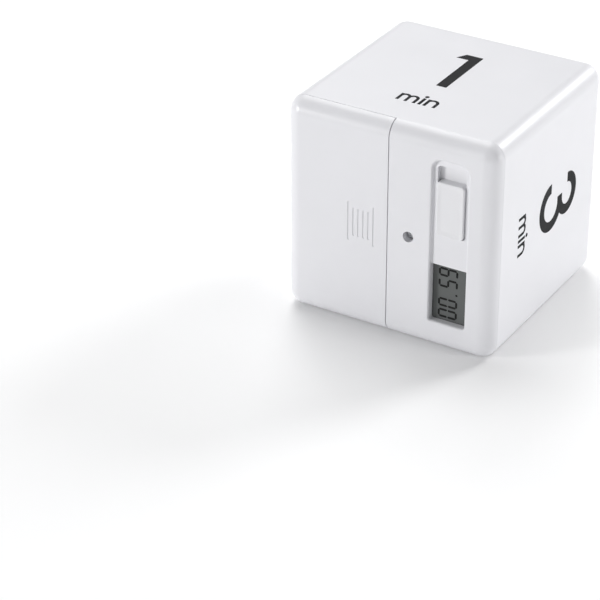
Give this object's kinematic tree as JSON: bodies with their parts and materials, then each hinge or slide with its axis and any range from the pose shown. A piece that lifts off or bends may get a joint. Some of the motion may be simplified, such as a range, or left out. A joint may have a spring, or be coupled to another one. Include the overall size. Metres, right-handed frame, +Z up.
{
  "type": "cube kitchen timer",
  "caption": "White cube timer started by turning it onto a side: numbered faces, a small upright display, a sliding mode switch and a sliding battery cover.",
  "frame": {"origin": "centre of the 5-minute face, which the timer stands on", "axes": "+Z up through the 1-minute face, -Y out of the display face, +X out of the 3-minute face"},
  "size_m": [0.064, 0.064, 0.064],
  "materials": {
    "case_plastic": "satin moulded ABS, very fine spark texture",
    "screw_steel": "zinc-plated steel",
    "black_plastic": "moulded black plastic",
    "sheet_steel": "tin-plated sheet steel",
    "spring_steel": "nickel-plated spring steel",
    "phenolic": "brown phenolic laminate",
    "display_glass": "grey twisted-nematic display cell, switched on",
    "reflector_foil": "matt reflector foil",
    "contact_rubber": "layered conductive rubber",
    "circuit_board": "green solder mask over copper traces",
    "epoxy": "black moulding epoxy",
    "brass": "plain brass sheet",
    "ceramic": "silvered piezo ceramic",
    "battery_wrap": "printed shrink wrap, no marks",
    "red_insulation": "PVC insulation",
    "black_insulation": "PVC insulation"
  },
  "bodies": {
    "case": {"main_shell": "case_plastic", "front_panel": "case_plastic", "panel_screw": "screw_steel", "slide_switch_frame": "sheet_steel", "slide_switch_base": "phenolic", "display_glass": "display_glass", "display_reflector": "reflector_foil", "display_holder": "black_plastic", "contact_strip_1": "contact_rubber", "contact_strip_2": "contact_rubber", "circuit_board": "circuit_board", "board_screw_1": "screw_steel", "board_screw_2": "screw_steel", "board_screw_3": "screw_steel", "board_screw_4": "screw_steel", "controller_chip": "epoxy", "crystal": "sheet_steel", "capacitor": "black_plastic", "resistor_1": "epoxy", "resistor_2": "epoxy", "resistor_3": "epoxy", "driver_transistor": "epoxy", "tilt_tube_1": "sheet_steel", "tilt_plug_1": "black_plastic", "tilt_tube_2": "sheet_steel", "tilt_plug_2": "black_plastic", "buzzer_case": "black_plastic", "buzzer_disc": "brass", "buzzer_ceramic": "ceramic", "battery_box": "black_plastic", "box_screw_1": "screw_steel", "box_screw_2": "screw_steel", "battery_1": "battery_wrap", "battery_2": "battery_wrap", "contact_spring_1": "spring_steel", "contact_spring_2": "spring_steel", "negative_contact": "spring_steel", "positive_contact": "spring_steel", "link_contact": "spring_steel", "battery_lead_red": "red_insulation", "battery_lead_black": "black_insulation", "buzzer_lead_red": "red_insulation", "buzzer_lead_black": "black_insulation"},
    "cover": {"battery_cover": "case_plastic"},
    "mode_switch": {"switch_knob": "case_plastic", "slide_switch_actuator": "black_plastic"},
    "tilt_ball_a": {"tilt_ball_1": "sheet_steel"},
    "tilt_ball_b": {"tilt_ball_2": "sheet_steel"}
  },
  "joints": [
    {"name": "cover_slide", "type": "slide", "parent": "case", "child": "cover", "axis": [-1, 0, 0], "range_m": [0, 0.024]},
    {"name": "switch_slide", "type": "slide", "parent": "case", "child": "mode_switch", "axis": [0, 0, 1], "range_m": [0, 0.004]},
    {"name": "tilt_ball_a_roll", "type": "slide", "parent": "case", "child": "tilt_ball_a", "axis": [0.7071, 0, 0.7071], "range_m": [0, 0.0026]},
    {"name": "tilt_ball_b_roll", "type": "slide", "parent": "case", "child": "tilt_ball_b", "axis": [-0.7071, 0, 0.7071], "range_m": [0, 0.0026]}
  ]
}
